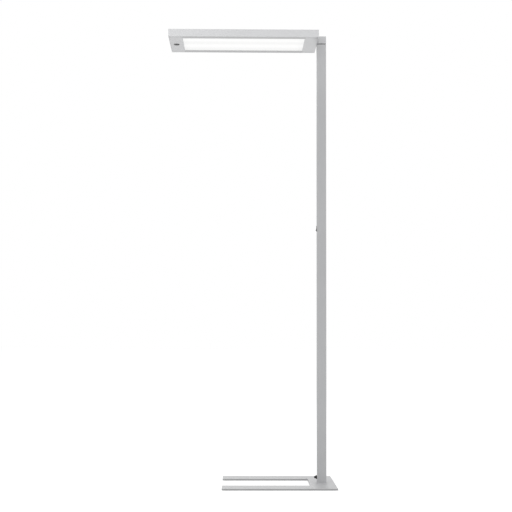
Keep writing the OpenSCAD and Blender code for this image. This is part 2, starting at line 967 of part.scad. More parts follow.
// A slim control gear box with an ear at each end, drawn for the rear
module control_gear() {
    color(white)
        difference() {
            union() {
                span_box([gear_left, gear_right - gear_ear], [gear_y, gear_y + gear_width],
                         [gear_z, gear_z + gear_height]);
                span_box([gear_left - gear_ear, gear_right],
                         [gear_y, gear_y + gear_width],
                         [gear_z, gear_z + gear_ear_thickness]);
            }
            at_gear_screws()
                translate([0, 0, -cut])
                    cylinder(r = gear_screw[0] + hole_clearance,
                             h = gear_ear_thickness + 2 * cut);
        }
}

module front_control_gear() {
    mirror([0, 1, 0])
        control_gear();
}

module rear_control_gear() {
    control_gear();
}

module gear_screws() {
    color(steel)
        for (side = [0, 1])
            mirror([0, side, 0])
                at_gear_screws() {
                    translate([0, 0, -reflector_sheet])
                        cylinder(r = gear_screw[0], h = reflector_sheet + gear_ear_thickness);
                    translate([0, 0, gear_ear_thickness])
                        cylinder(r = gear_screw[1], h = 1.8);
                }
}

// One tube holder at the origin: a post with a round top and two pin holes, facing +X
module tube_holder() {
    difference() {
        union() {
            translate([-holder_thickness, -holder_half, 0])
                cube([holder_thickness, 2 * holder_half, tube_z - panel_top]);
            rod_x(-holder_thickness, 0, 0, tube_z - panel_top, holder_half);
        }
        for (side = [-1, 1])
            rod_x(-pin_length - 1, cut, side * pin_spread, tube_z - panel_top,
                  pin_radius + pin_clearance);
    }
}

module tube_holders() {
    color(white)
        for (i = [0 : tube_count - 1]) {
            translate([tube_left, tube_y(i), panel_top])
                tube_holder();
            translate([tube_right, tube_y(i), panel_top])
                mirror([1, 0, 0])
                    tube_holder();
        }
}

module glass_tubes() {
    color(opal)
        for (i = [0 : tube_count - 1])
            difference() {
                rod_x(tube_left + cap_length, tube_right - cap_length, tube_y(i), tube_z,
                      tube_radius);
                rod_x(tube_left + cap_length + 2, tube_right - cap_length - 2, tube_y(i),
                      tube_z, tube_radius - tube_wall);
            }
}

// One metal end cap with its two pins, its outer face at the origin, facing -X
module tube_cap() {
    rod_x(0, cap_length, 0, 0, tube_radius + cap_wall);
    for (side = [-1, 1])
        rod_x(-pin_length, 0, side * pin_spread, 0, pin_radius);
}

module tube_caps() {
    color(steel)
        for (i = [0 : tube_count - 1]) {
            translate([tube_left, tube_y(i), tube_z])
                tube_cap();
            translate([tube_right, tube_y(i), tube_z])
                mirror([1, 0, 0])
                    tube_cap();
        }
}

module upper_diffuser() {
    edge = reflector_wall_y + reflector_sheet;
    color(opal)
        span_box([diffuser_left, diffuser_right], [-edge, edge],
                 [upper_diffuser_bottom, cover_bottom]);
}

module top_cover() {
    color(silver)
        difference() {
            translate([0, 0, cover_bottom])
                linear_extrude(sheet)
                    panel_plan();
            at_bosses(lamp_height)
                mirror([0, 0, 1])
                    countersunk_hole(panel_screw, sheet);
        }
}

module top_screws() {
    color(steel)
        at_bosses(lamp_height)
            mirror([0, 0, 1])
                countersunk_screw(panel_screw, panel_screw_length);
}

// ---- Sensor ----

module sensor_bezel() {
    proud_z = head_bottom - sensor_bezel_proud;
    color(dark_grey)
        difference() {
            union() {
                rod_z(sensor_x, 0, proud_z, head_bottom, sensor_diameter / 2);
                rod_z(sensor_x, 0, proud_z, sensor_body_top, sensor_body_radius);
            }
            rod_z(sensor_x, 0, proud_z - cut, sensor_body_top + cut, sensor_bore_radius);
        }
}

// A shallow lens that closes the bezel's bore
module sensor_lens() {
    lens_radius = sensor_bore_radius - thread_clearance;
    color(black)
        rod_z(sensor_x, 0, head_bottom - sensor_bezel_proud, panel_top + 1, lens_radius);
}

module sensor_board() {
    color(green) {
        rod_z(sensor_x, 0, sensor_body_top, sensor_body_top + 1.6, sensor_body_radius);
        rod_z(sensor_x, 0, panel_top + 1.3, sensor_body_top, 4);
    }
}

// ---- Wiring in the head ----

module head_terminal() {
    x0 = head_right + head_terminal_x[0];
    x1 = head_right + head_terminal_x[1];
    pitch = (head_terminal_y[1] - head_terminal_y[0]) / 5;
    color(white)
        difference() {
            span_box([x0, x1], head_terminal_y, [panel_top, panel_top + head_terminal_height]);
            for (i = [0 : 4])
                rod_z((x0 + x1) / 2, head_terminal_y[0] + (i + 0.5) * pitch, panel_top + 9,
                      panel_top + head_terminal_height + cut, 1.8);
        }
}

// The lead from above the spindle, through the block, to the head's terminal
module head_lead() {
    color(black) {
        rod_z(0, 0, spindle_top + lead_gap, head_wire_z, lead_radius);
        elbow(0, 0, head_wire_z, lead_radius);
        rod_x(head_lead_x, 0, 0, head_wire_z, lead_radius);
        elbow(head_lead_x, 0, head_wire_z, lead_radius);
        rod_y(0, head_terminal_y[0], head_lead_x, head_wire_z, lead_radius);
    }
}

// The wires from the terminal to the two control gear boxes
module gear_wires() {
    starts = [head_terminal_y[1], -head_terminal_y[0]];
    color(black)
        for (i = [0, 1])
            mirror([0, i, 0]) {
                rod_y(starts[i], gear_wire_y, gear_wire_x, gear_wire_z, wire_radius);
                elbow(gear_wire_x, gear_wire_y, gear_wire_z, wire_radius);
                rod_x(gear_right - gear_ear, gear_wire_x, gear_wire_y, gear_wire_z,
                      wire_radius);
            }
}

base_plate();
column_pad();
prong_pads();
base_screws();
foot_block();
foot_side_screws();
earth_screw();
mains_terminal();
column_tube();
cable_gland();
gland_locknut();
column_lead();
switch_housing();
rocker_axle();
switch_contacts();
switch_lead();
rocker();
pivot_plug();
plug_side_screws();
upper_bush();
lower_bush();
spindle();
thrust_washer();
stop_pin();
friction_disc();
spring_washer();
spindle_nut();
head_block();
block_cap();
spindle_grub_screw();
block_screws();
head_bracket();
head_frame();
underside_panel();
underside_screws();
lower_diffuser();
front_reflector();
rear_reflector();
tube_holders();
glass_tubes();
tube_caps();
front_control_gear();
rear_control_gear();
gear_screws();
upper_diffuser();
top_cover();
top_screws();
sensor_bezel();
sensor_lens();
sensor_board();
head_terminal();
head_lead();
gear_wires();
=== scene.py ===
"""Office floor lamp: camera, light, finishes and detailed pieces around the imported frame."""

import json
import math

import bmesh
import bpy
from mathutils import Matrix, Vector
from mathutils.geometry import tessellate_polygon


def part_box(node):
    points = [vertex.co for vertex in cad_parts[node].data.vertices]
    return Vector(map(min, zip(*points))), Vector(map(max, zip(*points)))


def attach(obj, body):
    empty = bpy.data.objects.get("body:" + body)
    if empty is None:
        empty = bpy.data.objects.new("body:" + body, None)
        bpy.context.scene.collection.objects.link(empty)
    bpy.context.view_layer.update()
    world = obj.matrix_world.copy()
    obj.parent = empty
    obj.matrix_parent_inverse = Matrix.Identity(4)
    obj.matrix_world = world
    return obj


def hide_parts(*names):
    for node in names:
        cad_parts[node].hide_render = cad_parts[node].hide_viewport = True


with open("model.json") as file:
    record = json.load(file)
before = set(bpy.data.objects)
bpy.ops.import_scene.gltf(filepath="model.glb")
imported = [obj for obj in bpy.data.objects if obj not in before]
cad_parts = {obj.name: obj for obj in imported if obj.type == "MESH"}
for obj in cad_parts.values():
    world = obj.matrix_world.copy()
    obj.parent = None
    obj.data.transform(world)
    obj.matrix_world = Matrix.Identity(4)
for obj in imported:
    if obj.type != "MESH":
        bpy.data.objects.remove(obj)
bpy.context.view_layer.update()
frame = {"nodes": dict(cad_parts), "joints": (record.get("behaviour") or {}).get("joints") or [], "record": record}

MM = 0.001
WELD = 1e-6
SHARP = math.radians(35)
FULL_WEIGHT = 100
UNTURNED = Matrix.Identity(4)
UP = (0, 0, 1)
LEFT = (-1, 0, 0)

# Camera, fitted to the photograph's 512 pixel frame
FRAME_PIXELS = 512
FOCAL_PIXELS = 1211.5
SENSOR_WIDTH = 36
VIEW_REACH = 200
CAMERA_PLACE = (-0.3648, -5.2777, 0.6791)
CAMERA_YAW = -0.01501
CAMERA_PITCH = 0.05806
CAMERA_ROLL = 0.00236

# Light and floor
SKY_LEVEL = 0.72
FLOOR_WIDTH = 60
FLOOR_TONE = 0.80
FLOOR_GLOW = 0.43
FLOOR_ROUGHNESS = 0.9
SOFT_LAMPS = (
    # name, place, aim, width, watts
    ("key_light", (-2.6, -3.4, 3.6), (-0.2, 0.0, 1.0), 3.6, 40),
    ("fill_light", (2.8, -3.2, 1.9), (-0.1, 0.0, 0.9), 3.6, 32),
    ("rear_light", (-0.5, 3.6, 3.4), (-0.2, 0.0, 0.6), 2.4, 19),
    ("side_light", (-3.6, 0.3, 1.7), (0.0, 0.0, 1.3), 3.0, 20),
)

RECORD = frame["record"]
SLOT_OF = {part["node"]: part["material_slot"] for part in RECORD["subparts"]}
BODY_OF = {
    name: body
    for body, names in RECORD["behaviour"]["bodies"].items()
    for name in names
}
LOWER_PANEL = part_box("lower_diffuser")
UPPER_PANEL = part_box("upper_diffuser")

# Sizes that no box gives
BASE_BAND = 108.5 * MM
BASE_CORNER = 3 * MM
BASE_SCREW_PLACE = 12 * MM
PAD_CORNER = 3 * MM
HEAD_WALL = 2.5 * MM
HEAD_CORNER = 1.5 * MM
BOSS_INSET = 6 * MM
BOSS_SPACES = 3
WINDOW_LAP = 6 * MM
COLUMN_CORNER = 2 * MM
BLOCK_ROOM = 9 * MM
CAP_THICKNESS = 3 * MM
SENSOR_RIM = 2 * MM
SWITCH_FLOOR = 10.5 * MM
ROCKER_LENGTH = 19.2 * MM
ROCKER_REACH = 6.8 * MM
ROCKER_HOLLOW = 1.7 * MM
ROCKER_BACK = 1.5 * MM
ROCKER_STEM = 5.5 * MM

# Silver looks: colour, roughness, metal share, how the texture is drawn out, edge wear
LACQUER = ((0.412, 0.415, 0.422), 0.50, 0.75, (1, 1, 1), 0.15)
# The plate's colour is a lighter copy of the lacquer: painted light on its top face
PLATE_LACQUER_PAINTED_LIGHT = ((0.500, 0.503, 0.510), 0.45, 0.30, (1, 1, 1), 0.15)
ANODISED = ((0.600, 0.603, 0.612), 0.38, 0.75, (14, 1, 1), 0.5)

# Painted light and shade: how much lighter or darker the silver is made in some places
# Painted light: the block's copy of the lacquer is made lighter
BLOCK_PAINTED_LIGHT_TONE = 1.20
# Painted shade on the plate's upright cut edges
CUT_EDGE_PAINTED_SHADE_TONE = 0.69
# Painted shade: the head's underside takes a darker copy of the anodised silver
UNDERSIDE_PAINTED_SHADE_TONE = 0.93
# Painted shade along the underside's rails beside the window
RAIL_PAINTED_SHADE_TONE = 0.78
RAIL_PAINTED_SHADE_REST = 0.25
RAIL_PAINTED_SHADE_FADE = 2 * MM
# Painted light: the column's lacquer is paler towards its top and its foot
COLUMN_END_PAINTED_LIGHT = 1.16
COLUMN_TOP_PAINTED_LIGHT_FADE = 0.25
COLUMN_FOOT_PAINTED_LIGHT_FADE = 0.10

# The texture of the silver looks
CLOUD_SIZE = 140 * MM
CLOUD_TONES = (0.98, 1.02)
FLECK_SIZE = 0.9 * MM
FLECK_TONE = 0.7
FLECK_AMOUNT = 0.22
SILVER_GRAIN = 0.5 * MM
SILVER_RELIEF = 0.03 * MM
WORN_WIDTH = 0.8 * MM
WORN_TONE = 1.25

# The texture of plated metal and of moulded plastic
MOTTLE_SIZE = 6 * MM
MOTTLE_TONES = (0.90, 1.08)
LINE_SIZE = 0.4 * MM
LINE_RELIEF = 0.02 * MM
PLASTIC_CLOUD_SIZE = 20 * MM
PLASTIC_TONES = (0.93, 1.07)

# Lit panels: where their bands of light lie, how far they dip, and how bright they are
LOWER_BAND_Y = 28 * MM
LOWER_BAND_WIDTH = 110 * MM
LOWER_DIP = 0.09
LOWER_LEVEL = 0.80
TUBE_PITCH = 50 * MM
UPPER_DIP = 0.18
UPPER_LEVEL = 0.92
PANEL_FADE = 35 * MM
PANEL_SIDE_DIP = 0.12
PANEL_END_DIP = 0.06
PANEL_GRAIN = 1 * MM
PANEL_RELIEF = 0.04 * MM


# ---- Shader nodes ----

def socket_named(node, key):
    """A node's input in use, by its name or its identifier."""
    for socket in node.inputs:
        if socket.enabled and (socket.identifier == key or socket.name == key.replace("_", " ")):
            return socket
    raise KeyError(key)


def add(tree, kind, settings=None, **inputs):
    """A new shader node. Each input is a plain value, or a socket to link from."""
    made = tree.nodes.new("ShaderNode" + kind)
    for key, value in (settings or {}).items():
        setattr(made, key, value)
    for key, value in inputs.items():
        socket = socket_named(made, key)
        if isinstance(value, bpy.types.NodeSocket):
            tree.links.new(value, socket)
        elif socket.type == "RGBA":
            socket.default_value = (*value, 1)
        else:
            socket.default_value = value
    return made


def maths(tree, operation, first, *second):
    """The result of a sum on one or two values."""
    inputs = dict(zip(("Value", "Value_001"), (first, *second)))
    return add(tree, "Math", {"operation": operation}, **inputs).outputs[0]


def spread(tree, value, low, high, start=0.3, end=0.7):
    """A value between start and end, mapped to low and high."""
    return add(
        tree, "MapRange", Value=value, From_Min=start, From_Max=end, To_Min=low, To_Max=high
    ).outputs["Result"]


def mix(tree, factor, first, second, blend="MIX"):
    """A colour mixed from two colours."""
    made = add(
        tree, "Mix", {"data_type": "RGBA", "blend_type": blend}, Factor=factor, A=first, B=second
    )
    return next(s for s in made.outputs if s.enabled)


def place_on_object(tree):
    """The X, Y and Z sockets of the shaded place, in metres."""
    return add(tree, "SeparateXYZ", Vector=add(tree, "TexCoord").outputs["Object"]).outputs


def grain(tree, size, stretch=(1, 1, 1), detail=3.0):
    """Noise from 0 to 1 with features of about size metres, drawn out along the axes."""
    place = add(tree, "TexCoord").outputs["Object"]
    scale = tuple(1 / (size * s) for s in stretch)
    placed = add(tree, "Mapping", Vector=place, Scale=scale).outputs["Vector"]
    return add(tree, "TexNoise", Vector=placed, Scale=1.0, Detail=detail).outputs["Fac"]


def relief(tree, height, depth, strength):
    """A normal from a height that spans depth metres."""
    return add(tree, "Bump", Height=height, Distance=depth, Strength=strength).outputs["Normal"]


def edges(tree, radius):
    """1 beside a sharp edge and 0 on a flat face."""
    rounded = add(tree, "Bevel", {"samples": 4}, Radius=radius).outputs["Normal"]
    plain = add(tree, "NewGeometry").outputs["Normal"]
    facing = add(
        tree, "VectorMath", {"operation": "DOT_PRODUCT"}, Vector=rounded, Vector_001=plain
    ).outputs["Value"]
    return spread(tree, facing, 1.0, 0.0, 0.90, 0.995)


def shade(colour, factor):
    """A colour made lighter or darker."""
    return tuple(min(1.0, c * factor) for c in colour)


def mottled(tree, pattern, colour, tones):
    """A colour that varies with a pattern between a darker and a lighter tone of it."""
    darker, lighter = tones
    return mix(tree, spread(tree, pattern, 0, 1), shade(colour, darker), shade(colour, lighter))


def new_finish(name, metallic=0.0, **uniform):
    """A material, its node tree and its shader, with the shader's uniform values set."""
    material = bpy.data.materials.new(name)
    material.use_nodes = True
    tree = material.node_tree
    shader = tree.nodes["Principled BSDF"]
    shader.inputs["Metallic"].default_value = metallic
    for key, value in uniform.items():
        shader.inputs[key.replace("_", " ")].default_value = value
    return material, tree, shader


# ---- Finishes ----

def toned(look, factor):
    """A silver look with its colour made lighter or darker."""
    colour, *rest = look
    return (shade(colour, factor), *rest)


def satin_silver(name, colour, roughness, metallic, drawn, wear):
    """Silver finish: a fine even texture, faint clouding, metal flecks and worn edges."""
    material, tree, shader = new_finish(name, metallic=metallic)
    cloud = grain(tree, CLOUD_SIZE, detail=2.0)
    fleck = grain(tree, FLECK_SIZE, drawn, detail=2.0)
    texture = grain(tree, SILVER_GRAIN, drawn, detail=4.0)
    clouded = mottled(tree, cloud, colour, CLOUD_TONES)
    specks = spread(tree, fleck, 0, FLECK_AMOUNT, 0.45, 0.75)
    flecked = mix(tree, specks, clouded, shade(colour, FLECK_TONE))
    rubbed = maths(tree, "MULTIPLY", edges(tree, WORN_WIDTH), wear)
    worn = mix(tree, rubbed, flecked, shade(colour, WORN_TONE))
    tree.links.new(worn, shader.inputs["Base Color"])
    gloss = spread(tree, texture, roughness - 0.05, roughness + 0.06)
    tree.links.new(gloss, shader.inputs["Roughness"])
    tree.links.new(relief(tree, texture, SILVER_RELIEF, 0.35), shader.inputs["Normal"])
    return material


def retone(material, amount, factor):
    """Makes a finish lighter or darker by factor where amount is 1."""
    tree = material.node_tree
    base = tree.nodes["Principled BSDF"].inputs["Base Color"]
    changed = mix(tree, amount, base.links[0].from_socket, (factor, factor, factor), "MULTIPLY")
    tree.links.new(changed, base)


def satin_underside_painted_shade(name, look):
    """A silver look with painted shade: a little darker along the rails beside the window's long edges."""
    material = satin_silver(name, *look)
    tree = material.node_tree
    low, high = LOWER_PANEL
    half = (high.y - low.y) / 2 - WINDOW_LAP
    reach = (high.x - low.x) / 2
    place = place_on_object(tree)
    across = maths(tree, "ABSOLUTE", place["Y"])
    along = maths(tree, "ABSOLUTE", maths(tree, "SUBTRACT", place["X"], (low.x + high.x) / 2))
    # Painted shade: a band along each long edge of the window, fading towards its ends
    rail_painted_shade = spread(tree, across, 0, 1, half - RAIL_PAINTED_SHADE_FADE, half + RAIL_PAINTED_SHADE_FADE)
    rail_painted_shade_along = spread(tree, along, 1, RAIL_PAINTED_SHADE_REST, reach - WINDOW_LAP, reach)
    retone(material, maths(tree, "MULTIPLY", rail_painted_shade, rail_painted_shade_along), RAIL_PAINTED_SHADE_TONE)
    return material


def satin_column_with_painted_light(name, look):
    """A silver look with painted light: a little paler towards the column's two ends."""
    material = satin_silver(name, *look)
    tree = material.node_tree
    low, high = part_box("column_tube")
    height = place_on_object(tree)["Z"]
    top = spread(tree, height, 0, 1, high.z - COLUMN_TOP_PAINTED_LIGHT_FADE, high.z)
    foot = spread(tree, height, 1, 0, low.z, low.z + COLUMN_FOOT_PAINTED_LIGHT_FADE)
    retone(material, maths(tree, "MAXIMUM", top, foot), COLUMN_END_PAINTED_LIGHT)
    return material


def plated_metal(name, colour, roughness, drawn):
    """Turned or drawn metal: fine lines along one axis and a mottled tone."""
    material, tree, shader = new_finish(name, metallic=1.0)
    mottle = grain(tree, MOTTLE_SIZE)
    lines = grain(tree, LINE_SIZE, drawn)
    tree.links.new(mottled(tree, mottle, colour, MOTTLE_TONES), shader.inputs["Base Color"])
    gloss = spread(tree, lines, roughness - 0.06, roughness + 0.10)
    tree.links.new(gloss, shader.inputs["Roughness"])
    tree.links.new(relief(tree, lines, LINE_RELIEF, 0.4), shader.inputs["Normal"])
    return material


def moulded(name, colour, roughness, texture_size=0.6 * MM, texture_depth=0.03 * MM):
    """Moulded plastic or rubber: a fine texture and a faint variation of tone."""
    material, tree, shader = new_finish(name)
    cloud = grain(tree, PLASTIC_CLOUD_SIZE)
    texture = grain(tree, texture_size, detail=4.0)
    tree.links.new(mottled(tree, cloud, colour, PLASTIC_TONES), shader.inputs["Base Color"])
    gloss = spread(tree, texture, roughness - 0.05, roughness + 0.07)
    tree.links.new(gloss, shader.inputs["Roughness"])
    tree.links.new(relief(tree, texture, texture_depth, 0.5), shader.inputs["Normal"])
    return material


def band_light(tree, across, bright_at, width, dip):
    """Light that dips between bright bands, width metres apart."""
    offset = maths(tree, "SUBTRACT", across, bright_at)
    wave = maths(tree, "COSINE", maths(tree, "MULTIPLY", offset, math.tau / width))
    return spread(tree, wave, 1 - dip, 1.0, -1.0, 1.0)


def edge_light(tree, place, first, last, dip):
    """Light that falls off towards both ends of a span."""
    half = (last - first) / 2
    distance = maths(tree, "ABSOLUTE", maths(tree, "SUBTRACT", place, (first + last) / 2))
    return spread(tree, distance, 1.0, 1 - dip, half - PANEL_FADE, half)


def lit_panel(name, panel, bright_at, band_width, band_dip, level):
    """Acrylic panel lit by the tubes behind it, dimmer between them and at its edges."""
    material, tree, shader = new_finish(name, Roughness=0.32)
    low, high = panel
    place = place_on_object(tree)
    bands = band_light(tree, place["Y"], bright_at, band_width, band_dip)
    sides = edge_light(tree, place["Y"], low.y, high.y, PANEL_SIDE_DIP)
    ends = edge_light(tree, place["X"], low.x, high.x, PANEL_END_DIP)
    light = maths(tree, "MULTIPLY", maths(tree, "MULTIPLY", bands, sides), ends)
    tree.links.new(maths(tree, "MULTIPLY", light, level), shader.inputs["Emission Strength"])
    shader.inputs["Emission Color"].default_value = (1.0, 1.0, 0.995, 1)
    fine = grain(tree, PANEL_GRAIN, (4, 1, 1), detail=1.0)
    body = mix(tree, spread(tree, fine, 0, 1), (0.10, 0.10, 0.10), (0.14, 0.14, 0.14))
    tree.links.new(body, shader.inputs["Base Color"])
    tree.links.new(relief(tree, fine, PANEL_RELIEF, 0.3), shader.inputs["Normal"])
    return material


def tube_phosphor(name):
    """Fluorescent tube: an even white coating, lit from inside."""
    material, tree, shader = new_finish(name, Roughness=0.15)
    coat = grain(tree, 4 * MM, (6, 1, 1))
    white = mix(tree, spread(tree, coat, 0, 1), (0.88, 0.88, 0.86), (0.94, 0.94, 0.92))
    tree.links.new(white, shader.inputs["Base Color"])
    shader.inputs["Emission Color"].default_value = (1.0, 1.0, 0.98, 1)
    tree.links.new(spread(tree, coat, 0.55, 0.65), shader.inputs["Emission Strength"])
    return material


def board(name):
    """Circuit board: green lacquer over faint drawn-out copper lines."""
    material, tree, shader = new_finish(name, Roughness=0.30)
    lines = grain(tree, 1.2 * MM, (8, 1, 1), detail=0.0)
    traces = spread(tree, lines, 0, 1, 0.48, 0.56)
    green = mix(tree, traces, (0.02, 0.12, 0.05), (0.06, 0.24, 0.10))
    tree.links.new(green, shader.inputs["Base Color"])
    tree.links.new(relief(tree, lines, 0.05 * MM, 0.5), shader.inputs["Normal"])
    return material


FINISH = {
    # The lacquer's finish carries painted light towards both ends of the column
    "silver_lacquer": satin_column_with_painted_light("silver_lacquer", LACQUER),
    "silver_anodised": satin_silver("silver_anodised", *ANODISED),
    "steel": plated_metal("steel", (0.56, 0.565, 0.57), 0.32, (1, 1, 12)),
    "brass": plated_metal("brass", (0.72, 0.55, 0.27), 0.28, (1, 1, 12)),
    "rubber": moulded("rubber", (0.035, 0.035, 0.036), 0.78, 1.2 * MM, 0.1 * MM),
    "black_plastic": moulded("black_plastic", (0.018, 0.018, 0.019), 0.42),
    "cable_sheath": moulded("cable_sheath", (0.028, 0.028, 0.029), 0.50),
    "dark_plastic": moulded("dark_plastic", (0.055, 0.056, 0.058), 0.46),
    "white_plastic": moulded("white_plastic", (0.80, 0.80, 0.78), 0.42),
    "white_metal": moulded("white_metal", (0.82, 0.82, 0.81), 0.40, 1 * MM, 0.03 * MM),
    "opal_acrylic": lit_panel(
        "opal_acrylic", LOWER_PANEL, LOWER_BAND_Y, LOWER_BAND_WIDTH, LOWER_DIP, LOWER_LEVEL
    ),
    "frosted_acrylic": lit_panel(
        "frosted_acrylic", UPPER_PANEL, TUBE_PITCH / 2, TUBE_PITCH, UPPER_DIP, UPPER_LEVEL
    ),
    "tube_glass": tube_phosphor("tube_glass"),
    "cap_aluminium": plated_metal("cap_aluminium", (0.72, 0.72, 0.73), 0.30, (12, 1, 1)),
    "circuit_board": board("circuit_board"),
}
# The plate's lighter lacquer is painted light on its top face
PLATE_PAINTED_LIGHT_FINISH = satin_silver("silver_plate_painted_light", *PLATE_LACQUER_PAINTED_LIGHT)
# The cut edges' darker copy of the plate's lacquer is painted shade
CUT_EDGE_PAINTED_SHADE_FINISH = satin_silver("silver_cut_edge_painted_shade", *toned(PLATE_LACQUER_PAINTED_LIGHT, CUT_EDGE_PAINTED_SHADE_TONE))
# The block's lighter copy of the lacquer is painted light
BLOCK_PAINTED_LIGHT_FINISH = satin_silver("silver_block_painted_light", *toned(LACQUER, BLOCK_PAINTED_LIGHT_TONE))
# The underside's darker copy of the anodised silver is painted shade, with more along its rails
UNDERSIDE_PAINTED_SHADE_FINISH = satin_underside_painted_shade("silver_underside_painted_shade", toned(ANODISED, UNDERSIDE_PAINTED_SHADE_TONE))


# ---- Outlines ----

def rectangle(low, high, radius):
    """An anticlockwise rectangle between two corners, with rounded corners."""
    corners = [(low[0], low[1]), (high[0], low[1]), (high[0], high[1]), (low[0], high[1])]
    return rounded_outline(corners, radius)


def circle(x, y, radius, steps=48):
    """An anticlockwise circle."""
    turns = [math.tau * step / steps for step in range(steps)]
    return [Vector((x + radius * math.cos(a), y + radius * math.sin(a))) for a in turns]


def rounded_outline(corners, radius, steps=6):
    """A closed anticlockwise outline through corners, each of them rounded."""
    points = []
    for i, corner in enumerate(corners):
        here = Vector(corner)
        back = (Vector(corners[i - 1]) - here).normalized()
        ahead = (Vector(corners[(i + 1) % len(corners)]) - here).normalized()
        half = math.acos(back.dot(ahead)) / 2
        centre = here + (back + ahead).normalized() * (radius / math.sin(half))
        first = here + back * (radius / math.tan(half)) - centre
        last = here + ahead * (radius / math.tan(half)) - centre
        begin = math.atan2(first.y, first.x)
        sweep = (math.atan2(last.y, last.x) - begin + math.pi) % math.tau - math.pi
        for step in range(steps + 1):
            angle = begin + sweep * step / steps
            points.append(centre + Vector((math.cos(angle), math.sin(angle))) * radius)
    return points


def hole(loop):
    """A loop turned the other way round, as the edge of a hole."""
    return loop[::-1]


def inset(loop, distance):
    """A closed loop moved towards its left side, where the material is."""
    moved = []
    for i, here in enumerate(loop):
        before = (here - loop[i - 1]).normalized()
        after = (loop[(i + 1) % len(loop)] - here).normalized()
        first = Vector((-before.y, before.x))
        second = Vector((-after.y, after.x))
        moved.append(here + (first + second) * (distance / (1 + first.dot(second))))
    return moved


def soft_sides(low, high, soft, steps=3):
    """The rings of a cut edge with its upper and lower corners rounded: (inset, height)."""
    turns = [math.pi / 2 * step / steps for step in range(steps + 1)]
    rings = [(soft * (1 - math.sin(a)), low + soft * (1 - math.cos(a))) for a in turns]
    return rings + [(gap, low + high - height) for gap, height in reversed(rings)]


def sunk_sides(wide_end, far_end, depth):
    """The rings of a countersunk hole between its wide end and its far end, upwards."""
    inward = math.copysign(depth, far_end - wide_end)
    rings = [(depth, wide_end), (0, wide_end + inward), (0, far_end)]
    return rings if far_end > wide_end else rings[::-1]


def rim(along, radius, soft, steps=4):
    """The rounded outer edge of a turned outline that ends at along."""
    turns = [math.pi / 2 * step / steps for step in range(steps + 1)]
    return [
        (along - soft * (1 - math.sin(a)), radius - soft * (1 - math.cos(a))) for a in turns
    ]


# ---- Meshes ----

def mesh_from(name, points, faces):
    """A welded mesh with its faces turned outwards and no loose edges."""
    mesh = bpy.data.meshes.new(name)
    mesh.from_pydata(points, [], faces)
    build = bmesh.new()
    build.from_mesh(mesh)
    bmesh.ops.remove_doubles(build, verts=build.verts, dist=WELD)
    bmesh.ops.dissolve_degenerate(build, edges=build.edges, dist=WELD)
    loose = [edge for edge in build.edges if not edge.link_faces]
    bmesh.ops.delete(build, geom=loose, context="EDGES")
    bmesh.ops.recalc_face_normals(build, faces=build.faces)
    build.to_mesh(mesh)
    build.free()
    return mesh


def plate(name, cuts, turn=UNTURNED):
    """A plate from closed loops and the rings that each of them passes through, upwards."""
    points = []
    faces = []
    ends = ([], [])
    for loop, rings in cuts:
        start = len(points)
        count = len(loop)
        for gap, height in rings:
            points += [Vector((p.x, p.y, height)) for p in inset(loop, gap)]
        for ring in range(len(rings) - 1):
            base = start + ring * count
            for i in range(count):
                j = (i + 1) % count
                faces.append([base + i, base + j, base + count + j, base + count + i])
        ends[0].append(range(start, start + count))
        ends[1].append(range(len(points) - count, len(points)))
    for end in ends:
        flat = [k for part in end for k in part]
        outline = [[points[k] for k in part] for part in end]
        faces += [[flat[k] for k in corners] for corners in tessellate_polygon(outline)]
    return mesh_from(name, [turn @ point for point in points], faces)


def soft_plate(name, loops, low, high, soft, turn=UNTURNED):
    """A plate whose cut edges are all rounded alike."""
    return plate(name, [(loop, soft_sides(low, high, soft)) for loop in loops], turn)


def turned(name, outline, place, axis, steps=96):
    """A mesh turned about an axis through place, from a closed outline of (along, radius)."""
    turn = Vector(UP).rotation_difference(Vector(axis)).to_matrix()
    count = len(outline)
    points = []
    faces = []
    for step in range(steps):
        angle = math.tau * step / steps
        start = step * count
        after = (step + 1) % steps * count
        for i, (along, radius) in enumerate(outline):
            spot = Vector((radius * math.cos(angle), radius * math.sin(angle), along))
            points.append(Vector(place) + turn @ spot)
            j = (i + 1) % count
            faces.append([start + i, after + i, after + j, start + j])
    return mesh_from(name, points, faces)


def joined(name, meshes):
    """One mesh from several."""
    build = bmesh.new()
    for mesh in meshes:
        build.from_mesh(mesh)
    whole = bpy.data.meshes.new(name)
    build.to_mesh(whole)
    build.free()
    return whole


# ---- Pieces ----

def new_piece(mesh, node, finish=None):
    """A piece named as its mesh that stands for a CAD node: it rides on the node's body.

    It takes the finish of the node's slot, unless it is given another.
    """
    piece = bpy.data.objects.new(mesh.name, mesh)
    bpy.context.scene.collection.objects.link(piece)
    mesh.materials.append(finish or FINISH[SLOT_OF[node]])
    mesh.shade_smooth()
    mesh.set_sharp_from_angle(angle=SHARP)
    flats = piece.modifiers.new("flat_faces_stay_flat", "WEIGHTED_NORMAL")
    flats.mode = "FACE_AREA"
    flats.weight = FULL_WEIGHT
    flats.keep_sharp = True
    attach(piece, BODY_OF[node])
    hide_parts(node)
    return piece


